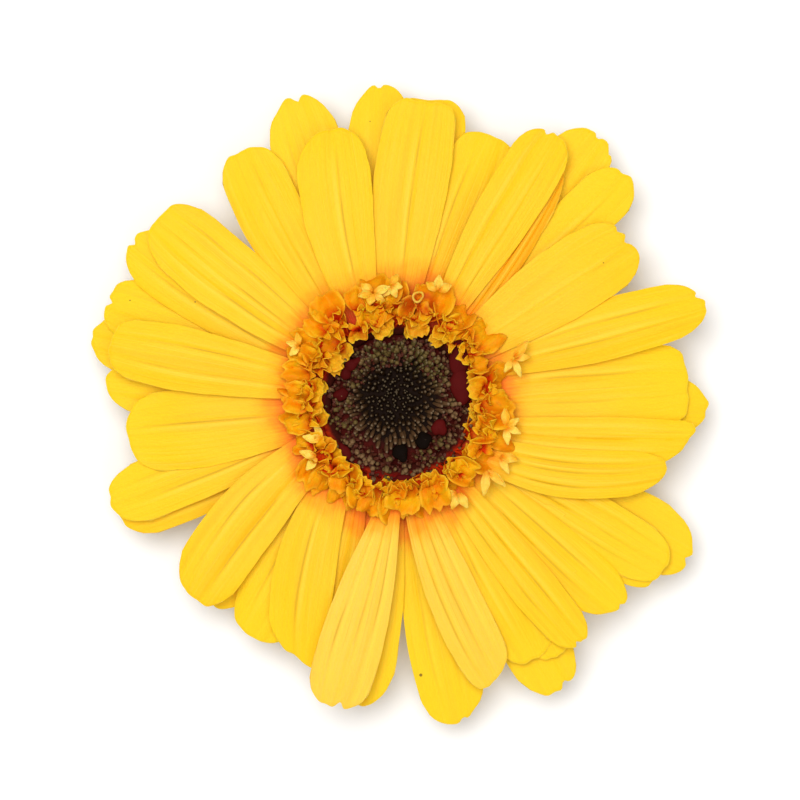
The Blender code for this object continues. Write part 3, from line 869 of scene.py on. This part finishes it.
def frill(number):
    """One short floret, its foot at the origin and its lip bending over towards +X."""
    draw = random.Random(100 + number)
    length = draw.uniform(6.2, 7.8)
    width = draw.uniform(3.8, 5.8)
    bend = draw.uniform(1.2, 2.1)
    teeth = draw.choice((3, 3, 4))
    phase = draw.uniform(-0.3, 0.3)
    depth = draw.uniform(0.04, 0.14)
    rolls = [draw.uniform(-1.6, 1.6) for tooth in range(teeth + 2)]
    pleat = draw.uniform(0.2, 0.5)
    steps = 40
    spine = [Vector((0, 0, 0))]
    for step in range(steps):
        angle = math.pi / 2 - bend * (step / steps) ** 1.3
        spine.append(spine[-1] + Vector((math.cos(angle), 0, math.sin(angle))) * length / steps)

    def point(along, across):
        in_tooth = (across + 1) / 2 * teeth + phase
        cut = abs(2 * (in_tooth - math.floor(in_tooth)) - 1)
        t = along * (1 - depth * cut**0.9 - 0.16 * abs(across) ** 3)
        spot = min(steps - 1, int(t * steps))
        middle = spine[spot].lerp(spine[spot + 1], t * steps - spot)
        heading = (spine[spot + 1] - spine[spot]).normalized()
        normal = Vector((-heading.z, 0, heading.x))
        opening = min(1.0, max(0.0, (t - 0.12) / 0.5))
        opening = opening * opening * (3 - 2 * opening)
        half = 0.7 + (width / 2 - 0.7) * opening
        closing = 2.5 * (1 - opening) + 0.6
        radius = half / closing * (1 + 0.6 * (1 - opening))
        turn = across * closing
        rise = rolls[int(in_tooth + 1)] * max(0.0, t - 0.6) ** 2 * 5 * (1 - cut)
        rise += pleat * opening * math.cos(across * 5 + phase * 20)
        for height, over, up, salt in ((1.3, 1.6, 3, 7), (0.4, 5, 7, 5), (0.22, 9, 13, 3)):
            rise += height * opening * noise.noise(Vector((across * over, t * up, number * salt)))
        rise += radius * (1 - math.cos(turn))
        return middle + Vector((0, radius * math.sin(turn) * (1 + 0.2 * opening), 0)) + normal * rise

    skins = [sheet(point, 20, 22, FRILL_THICKNESS, margin=0.02)]
    for side in (-1, 1):
        reach = draw.uniform(2.2, 3.6)
        broad = draw.uniform(0.55, 1.0)
        curl = draw.uniform(1.0, 2.4)
        aside = side * draw.uniform(0.2, 1.1)

        def lobe_point(along, across, side=side, reach=reach, broad=broad, curl=curl, aside=aside):
            turn = math.pi / 2 + curl * along
            x = -0.35 + reach / curl * (math.sin(turn) - 1)
            z = 2.9 - reach / curl * math.cos(turn)
            half = 0.35 + (broad - 0.35) * math.sin(min(1.0, along / 0.6) * math.pi / 2)
            half *= (1 - max(0.0, along - 0.55) / 0.45) ** 0.7 * 0.94 + 0.06
            crease = 0.3 * noise.noise(Vector((across * 1.4, along * 4, number + side * 3)))
            y = side * 0.35 + aside * along + half * across
            return Vector((x + crease, y, z + crease + 0.2 * across**2))

        skins.append(sheet(lobe_point, 9, 7, LOBE_THICKNESS, margin=0.03))
    return gathered(f"frill_{number}", skins)


thin_flesh = {"glow": 0.3, "depth": 0.8, "spread": (1.0, 0.4, 0.05)}
frill_amber, wires, shader = finish_named("frill_amber", 0.5, shine=0.05, **thin_flesh)
place = wires.place()
from_axis = place.off_axis()
across, along = wires.growth()
tint = wires.kept("tint")
grain = wires.joined(across * 7, along * 2, tint * 30).noise(1.0, 4)
blotches = place.noise(330, 2)
amber = blotches.rise(0.35, 0.65).mix(*AMBERS)
amber = (tint.rise(0.4, 1.0) * 0.6 + grain.rise(0.5, 0.75) * 0.4).mix(amber, PALE_AMBER)
amber = ((1 - from_axis.rise(11, 13.5)) * tint.rise(0.2, 0.9) * 0.7).mix(amber, INNER_AMBER)
rim = abs(across * 2 - 1).rise(0.75, 1.0) * along.rise(0.4, 0.7)
rim = rim.maths("MAXIMUM", rim, along.rise(0.88, 1.0))
amber = (from_axis.rise(15.5, 19) * 0.5).mix(amber, OUTER_ORANGE)
amber = ((1 - tint.rise(0.1, 0.4)) * 0.6).mix(amber, RED_ORANGE)
# About a tenth of the frills are deep red all over: partly painted shade, standing in for the shaded red
# gaps between florets, and partly still-closed deep red tubes.
amber = ((1 - tint.rise(0.07, 0.16)) * 0.8).mix(amber, GAP_SHADE_AND_TUBE_RED)
# Painted shade: a patch of deep red on the frills near the top of the ring, for the shade of a gap between
# them.
aside, above = place.beside(GAP_SHADE_MIDDLE)
in_painted_gap_shade = 1 - (aside * aside * 0.4 + above * above).rise(1.5, 7.0)
amber = (in_painted_gap_shade * blotches.rise(0.38, 0.52) * 0.8).mix(amber, PAINTED_GAP_SHADE_RED)
amber = (rim * (0.05 + blotches * 0.7)).mix(amber, RIM_YELLOW)
amber = (1 - along.rise(0.28, 0.64)).mix(amber, THROAT_RED)
dress(shader, amber, grain, 0.15)
frill_rings = []
for number, (count, middle, radius, height, lean, turn, first, size) in enumerate(FRILL_RINGS):
    more = {
        "Middle": (middle[0] * MM, middle[1] * MM, 0.0),
        "First Bearing": math.radians(first),
        "Turn": math.radians(turn),
        "Stray": 0.09,
        "Sway": 0.2,
        "Twist": 0.7,
    }
    sizes = [size * share for share in FRILL_SIZES]
    frill_rings.append(even_ring(count, radius, height, lean, *sizes, FRILL_SEED + number, more))
frills = grown("frilly_ring", frill_rings, frill, FRILL_SHAPES, frill_amber)
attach(frills, "root")
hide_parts("trans_florets")

# Star florets
# A few trans florets have opened flat into pale pointed lobes that lie on the ring's outer edge. Each is
# set where the photograph shows it, and a curled one stands up like a small ring.


def star_lobe(length, width, droop, wave):
    """A pointed lobe along +X with its foot at the origin."""

    def point(along, across):
        half = width / 2 * (0.35 + 0.65 * math.sin(min(1.0, along / 0.55) * math.pi / 2))
        half *= (1 - max(0.0, along - 0.5) / 0.5) ** 0.8 * 0.95 + 0.05
        height = 0.5 * math.sin(along * math.pi * 0.7) - droop * along**2 + 0.35 * across**2 * half
        height += wave * noise.noise(Vector((along * 3, across * 1.5, width * 9)))
        return Vector((0.2 + length * along, half * across, height))

    return sheet(point, 9, 8, LOBE_THICKNESS, margin=0.03)


def laid(skin, spot, turn):
    """A skin turned about its foot and moved to a spot in millimetres."""
    points, faces, places, under = skin
    return [turn @ point + Vector(spot) * MM for point in points], faces, places, under


def curl_wave(angle):
    """How far the curled floret's rim strays from a circle."""
    return 0.08 * math.sin(2 * angle) + 0.06 * math.sin(3 * angle)


# Middle x, y and height in millimetres, bearing of the fan, its lobes and their length.
STARS = [
    (-3.8, 17.0, 21.2, 260, 5, 2.4),
    (-1.0, 18.2, 21.0, 330, 4, 2.0),
    (6.4, 17.2, 21.0, 80, 3, 2.4),
    (18.4, 6.6, 20.2, 330, 4, 3.0),
    (17.2, -4.2, 20.3, 10, 4, 2.8),
    (14.2, -11.0, 20.4, 290, 2, 3.6),
    (16.2, -8.8, 20.0, 320, 2, 3.0),
    (-11.6, -6.4, 21.2, 150, 2, 3.4),
    (-12.6, -9.0, 20.8, 200, 2, 2.8),
    (-15.4, 8.6, 20.4, 160, 3, 2.2),
    (9.6, -14.6, 20.6, 250, 3, 2.6),
]
LOBE_STEP = 58
CURL_PROFILE = [(0.75, 0.3), (0.95, 0.05), (0.9, -0.9), (0.5, -2.2), (0.35, -2.2), (0.62, -0.8), (0.6, 0.1)]
CURL_FACETS = 24
CURL_SPOT = (3.3, 16.3, 21.6)
STAR_YELLOWS = (0.84, 0.42, 0.02), (0.9, 0.6, 0.09)
STAR_ORANGE = (0.82, 0.3, 0.01)
star_skins = []
for x, y, z, bearing, lobes, length in STARS:
    draw = random.Random(round(100 * (x + bearing)))
    for lobe in range(lobes):
        fan = math.radians(bearing + LOBE_STEP * (lobe - (lobes - 1) / 2) + draw.uniform(-10, 10))
        shape = (length * draw.uniform(0.8, 1.15), draw.uniform(1.1, 1.7), draw.uniform(0.4, 1.0), 0.5)
        star_skins.append(laid(star_lobe(*shape), (x, y, z), Matrix.Rotation(fan, 4, "Z")))
curl = turned_skin(CURL_PROFILE, CURL_FACETS, curl_wave)
star_skins.append(laid(curl, CURL_SPOT, Matrix.Identity(4)))
star_pale, wires, shader = finish_named("star_pale", 0.5, shine=0.15, glow=0.3, depth=0.8)
place = wires.place()
across, along = wires.growth()
pale = place.noise(300, 2).rise(0.35, 0.65).mix(*STAR_YELLOWS)
pale = (1 - along.rise(0.0, 0.45)).mix(pale, STAR_ORANGE)
dress(shader, pale, place.noise(1500), 0.15)
stars = piece(gathered("star_florets", star_skins), star_pale)
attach(stars, "root")
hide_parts("trans_florets")

# Frill bed
# The dark red band of crowded floret tubes that the frilly ring stands on, seen in its gaps.
BED_OUTSIDE = [(12.0, 18.8), (12.5, 18.3), (12.6, 17.9), (12.4, 17.65)]
BED_INSIDE = [(10.5, 17.65), (10.4, 17.9), (10.5, 18.6), (11.0, 18.9)]
BED_RIBS = 35
BED_RIB_DEPTH = 0.08
BED_REDS = (0.22, 0.006, 0.006), (0.5, 0.035, 0.004)
BED_SHADE = (0.036, 0.005, 0.003)
bed_red, wires, shader = finish_named("bed_red", 0.7, shine=0.02)
place = wires.place()
red = place.noise(1100).rise(0.35, 0.7).mix(*BED_REDS)
red = (1 - place.off_axis().rise(11.2, 12.4)).mix(red, BED_SHADE)
dress(shader, red, place.noise(1500), 0.3)
bed = piece(ribbed("frill_bed", [*BED_OUTSIDE, *BED_INSIDE], BED_RIBS, BED_RIB_DEPTH), bed_red)
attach(bed, "root")
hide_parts("trans_florets")

# Eye ground
# The low dome that the disc florets stand on, a velvety brown-black that reddens towards its edge.
DOME_TOP = [(0, 18.9), (3, 18.8), (6, 18.4), (8.5, 17.9), (10.0, 17.4)]
DOME_FOOT = [(10.7, 17.0), (10.7, 12.7), (10.6, 12.65), (0, 12.65)]
DOME_FACETS = 80
GROUND_COLOURS = (0.012, 0.006, 0.004), (0.075, 0.007, 0.005)
eye_ground, wires, shader = finish_named("eye_ground", 0.8, shine=0.04)
place = wires.place()
from_axis = place.off_axis() + place.noise(300) * 4
dress(shader, from_axis.rise(8, 11).mix(*GROUND_COLOURS), place.noise(1500), 0.3)
ground = piece(turned("eye_ground", [*DOME_TOP, *DOME_FOOT], DOME_FACETS), eye_ground)
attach(ground, "root")
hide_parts("disc_florets")

# Closed buds
# The heart of the eye: unopened disc florets, black-brown pointed beads, their tips lit by a painted
# highlight. They crowd on the golden angle, smallest and upright in the middle, and lean out towards the
# edge.
# The middle of the buds in millimetres.
HEART = (-0.5, 0.9)
BUD_SHAPES = 4
BUD_FACETS = 10
BUD_BROWNS = (0.009, 0.004, 0.0015), (0.045, 0.02, 0.007)
OUTER_BROWN = (0.14, 0.07, 0.03)
OUTER_OLIVE = (0.14, 0.1, 0.028)
PAINTED_TIP_HIGHLIGHT = (0.4, 0.31, 0.19)


def bud(number):
    """A closed bud, a narrow stalk with a five-sided pointed bead on top."""
    draw = random.Random(200 + number)
    fat = draw.uniform(0.36, 0.46)
    tall = draw.uniform(2.2, 2.8)
    tip = [(0, tall), (fat * 0.3, tall - 0.08), (fat * 0.72, tall - 0.4), (fat, tall - 0.95)]
    shape = [*tip, (fat * 0.85, tall - 1.5), (fat * 0.6, 0.4), (fat * 0.5, 0), (0, 0)]
    bead = turned_skin(shape, BUD_FACETS, lambda angle: 0.04 * math.cos(5 * angle))
    return gathered(f"bud_{number}", [bead])


bud_black, wires, shader = finish_named("bud_black", 0.36, shine=0.06)
place = wires.place()
aside, above = place.beside(HEART)
from_heart = (aside * aside + above * above) ** 0.5
greener = (above + aside * 0.4 + place.noise(400, 1) * 6).rise(6.5, 9)
across, along = wires.growth()
tint = wires.kept("tint")
brown = (tint**2).mix(*BUD_BROWNS)
outer = from_heart.rise(3.5, 7.5) * (0.3 + tint * 0.7)
brown = outer.mix(brown, greener.mix(OUTER_BROWN, OUTER_OLIVE))
# Painted highlight: a pale tan spot at each bud's tip, brighter on some buds than on others.
tip = along.rise(0.85, 0.94) * (0.08 + tint.rise(0.3, 0.95) * 0.75)
dress(shader, tip.mix(brown, PAINTED_TIP_HIGHLIGHT), place.noise(4000), 0.1)
bud_ring = {
    "Count": 340,
    "Middle": (HEART[0] * MM, HEART[1] * MM, 0.0),
    "Inner Radius": 0.0,
    "Outer Radius": 7.6 * MM,
    "Height": 18.6 * MM,
    "Edge Drop": 0.9 * MM,
    "Step": GOLDEN_ANGLE,
    "Crowding": 1.2,
    "Inner Lean": 0.0,
    "Outer Lean": 0.75,
    "Stray": 0.06,
    "Sway": 0.22,
    "Middle Size": 0.62,
    "Smallest": 0.8,
    "Largest": 1.1,
    "Seed": 21,
}
buds = grown("closed_buds", [bud_ring], bud, BUD_SHAPES, bud_black)
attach(buds, "root")
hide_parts("disc_florets")

# Opened disc florets
# Round the buds the disc florets have opened: dark red tubes with small curled lobes, each with a bead
# of olive, pollen-covered anthers standing out of it.
OPENED_SHAPES = 6
BEAD_FACETS = 8
OPENED_THICKNESS = 0.1
EYE_MIDDLE = (0.3, -1.4)
# Added to how far a spot lies along its skin, so that the finish tells a bead from a lobe.
BEAD_MARK = 2
KHAKIS = (0.3, 0.165, 0.07), (0.2, 0.135, 0.035)
OLIVE_BLACK = (0.025, 0.012, 0.006)
FLORET_REDS = (0.04, 0.008, 0.005), (0.12, 0.028, 0.012)


def opened(number):
    """An open floret: its tube, three recurved lobes and a knobbly bead on a stalk."""
    draw = random.Random(300 + number)
    skins = []
    for lobe in range(3):
        bearing = math.radians(120 * lobe + draw.uniform(-24, 24))
        reach = draw.uniform(0.5, 0.9)
        sag = draw.uniform(0.2, 0.9)

        def point(along, across, bearing=bearing, reach=reach, sag=sag):
            out = 0.3 + reach * math.sin(along * 1.5)
            height = 1.7 + 0.5 * along - sag * along**2
            half = 0.26 * (1 - along**2.5) + 0.03
            axis = Vector((math.cos(bearing), math.sin(bearing), 0))
            beside = Vector((-axis.y, axis.x, 0))
            return axis * out + beside * half * across + Vector((0, 0, height + 0.12 * across * across))

        skins.append(sheet(point, 4, 2, OPENED_THICKNESS))
    tall = draw.uniform(2.9, 3.7)
    fat = draw.uniform(0.28, 0.48)
    head = [(0, tall), (fat * 0.55, tall - 0.1), (fat, tall - 0.55), (fat * 0.8, tall - 1.2)]
    shape = [*head, (0.2, tall - 1.5), (0.3, 1.2), (0.3, 0), (0, 0)]
    bead = turned_skin(shape, BEAD_FACETS, lambda angle: 0.06 * math.cos(4 * angle + number))
    bead_places = [(BEAD_MARK + along, across) for along, across in bead[2]]
    return gathered(f"opened_{number}", [*skins, (bead[0], bead[1], bead_places, bead[3])])


pollen_olive, wires, shader = finish_named("pollen_olive", 0.5, shine=0.15)
place = wires.place()
across, along = wires.growth()
tint = wires.kept("tint")
grain = place.noise(3500, 2)
khaki = place.noise(160, 1).rise(0.42, 0.62).mix(*KHAKIS)
olive = (tint.rise(0.15, 0.9) * 0.8 + grain * 0.4).mix(OLIVE_BLACK, khaki)
red = tint.mix(*FLORET_REDS)
dress(shader, along.rise(BEAD_MARK + 0.5, BEAD_MARK + 0.75).mix(red, olive), grain, 0.15)
opened_ring = {
    "Count": 290,
    "Middle": (EYE_MIDDLE[0] * MM, EYE_MIDDLE[1] * MM, 0.0),
    "Inner Radius": 6.9 * MM,
    "Outer Radius": 11.2 * MM,
    "Height": 17.6 * MM,
    "Edge Drop": 0.8 * MM,
    "Height Spread": 0.7 * MM,
    "Step": GOLDEN_ANGLE,
    "Stray": 0.08,
    "Inner Lean": 0.35,
    "Outer Lean": 0.1,
    "Sway": 0.32,
    "Smallest": 0.58,
    "Largest": 1.04,
    "Seed": 31,
}
opened_florets = grown("opened_florets", [opened_ring], opened, OPENED_SHAPES, pollen_olive)
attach(opened_florets, "root")
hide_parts("disc_florets")

# Maroon pads
# Smooth dark red inner lips of a few trans florets, laid in over the rim of the eye like cushions, and
# two shallow hollows below the middle, the sunk mouths of disc florets that have dropped their anthers,
# painted near black: painted shade, the shade inside them.
PAD_PROFILE = [(0, 0.42), (0.4, 0.38), (0.75, 0.24), (0.93, 0.05), (1.0, -0.25), (0.9, -1.6), (0, -1.6)]
HOLLOW_PROFILE = [(0, -0.35), (0.6, -0.3), (0.85, -0.18), (1.0, -0.1), (1.08, -0.3), (1.1, -1.8), (0, -1.8)]

# Middle x and y, height, half length and half width in millimetres, and the bearing of the length.
PADS = [
    (-8.9, 0.8, 20.4, 1.25, 1.0, 20),
    (-8.1, 4.2, 20.3, 1.1, 0.9, 60),
    (-6.9, 5.8, 20.4, 1.5, 0.8, 35),
    (9.6, 6.8, 20.5, 2.8, 1.6, 95),
    (10.3, 2.2, 20.5, 2.8, 1.7, 100),
    (6.6, -4.4, 20.6, 1.6, 1.2, 75),
    (-8.2, -8.3, 20.1, 1.5, 0.9, 110),
    (1.0, -12.4, 20.0, 1.8, 0.6, 5),
]
HOLLOWS = [(0.7, -8.2, 20.4, 1.35, 1.15, 80), (4.2, -6.5, 20.5, 1.25, 1.15, 45)]
PAD_FACETS = 28
PAD_MAROONS = (0.03, 0.002, 0.002), (0.105, 0.006, 0.005)
PAINTED_HOLLOW_SHADE = (0.005, 0.0025, 0.0015)
pad_skins = []
for spots, profile in ((PADS, PAD_PROFILE), (HOLLOWS, HOLLOW_PROFILE)):
    for x, y, z, length, width, bearing in spots:

        def dent(angle, x=x):
            return 0.45 * noise.noise(Vector((math.cos(angle), math.sin(angle), x)))

        turn = Matrix.Rotation(math.radians(bearing), 4, "Z") @ Matrix.Diagonal((length, width, 1, 1))
        pad_skins.append(laid(turned_skin(profile, PAD_FACETS, dent), (x, y, z), turn))
pad_tints = [0.3 + 0.09 * number for number in range(len(PADS))] + [0.0] * len(HOLLOWS)
pad_maroon, wires, shader = finish_named("pad_maroon", 0.6, shine=0.02)
place = wires.place()
tint = wires.kept("tint")
maroon = (place.noise(500, 2) * 0.4 + tint * 0.6).mix(*PAD_MAROONS)
# Painted shade: the hollows, with tint 0, are painted near black for the shade inside them.
dress(shader, (1 - tint.rise(0.05, 0.2)).mix(maroon, PAINTED_HOLLOW_SHADE), place.noise(900, 3), 0.15)
pads = piece(gathered("maroon_pads", pad_skins, pad_tints), pad_maroon)
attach(pads, "root")
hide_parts("disc_florets")

# Stem hairs
# Fine soft hairs that stand out all round the stub, as on every gerbera stem. Four curved shapes of hair
# are set out at random heights.
HAIR_SHAPES = 4
HAIR_PROFILE = [(0, 1.0), (0.012, 0.7), (0.02, 0.35), (0.03, 0), (0, -0.05)]
HAIR_FACETS = 5
HAIR_COLOURS = (0.5, 0.55, 0.3), (0.72, 0.74, 0.55)


def hair(number):
    """A thin curved hair 1 mm long that stands on its foot."""
    draw = random.Random(400 + number)
    bow = draw.uniform(-0.3, 0.3)
    skin, faces, places, under = turned_skin(HAIR_PROFILE, HAIR_FACETS)
    bent = [point + Vector((bow * (point.z / MM) ** 2 * MM, 0, 0)) for point in skin]
    return gathered(f"hair_{number}", [(bent, faces, places, under)])


hair_pale, wires, shader = finish_named("hair_pale", 0.6)
place = wires.place()
dress(shader, place.noise(800).mix(*HAIR_COLOURS))
more = {"Height Spread": 3.3 * MM, "Step": GOLDEN_ANGLE, "Sway": 0.35, "Twist": 0.5}
hair_sizes = {"smallest": 0.35, "largest": 0.9}
hair_ring = even_ring(count=420, radius=3.66, height=0.25, lean=92, seed=41, more=more, **hair_sizes)
hairs = grown("stem_hairs", [hair_ring], hair, HAIR_SHAPES, hair_pale)
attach(hairs, "root")
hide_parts("involucre")
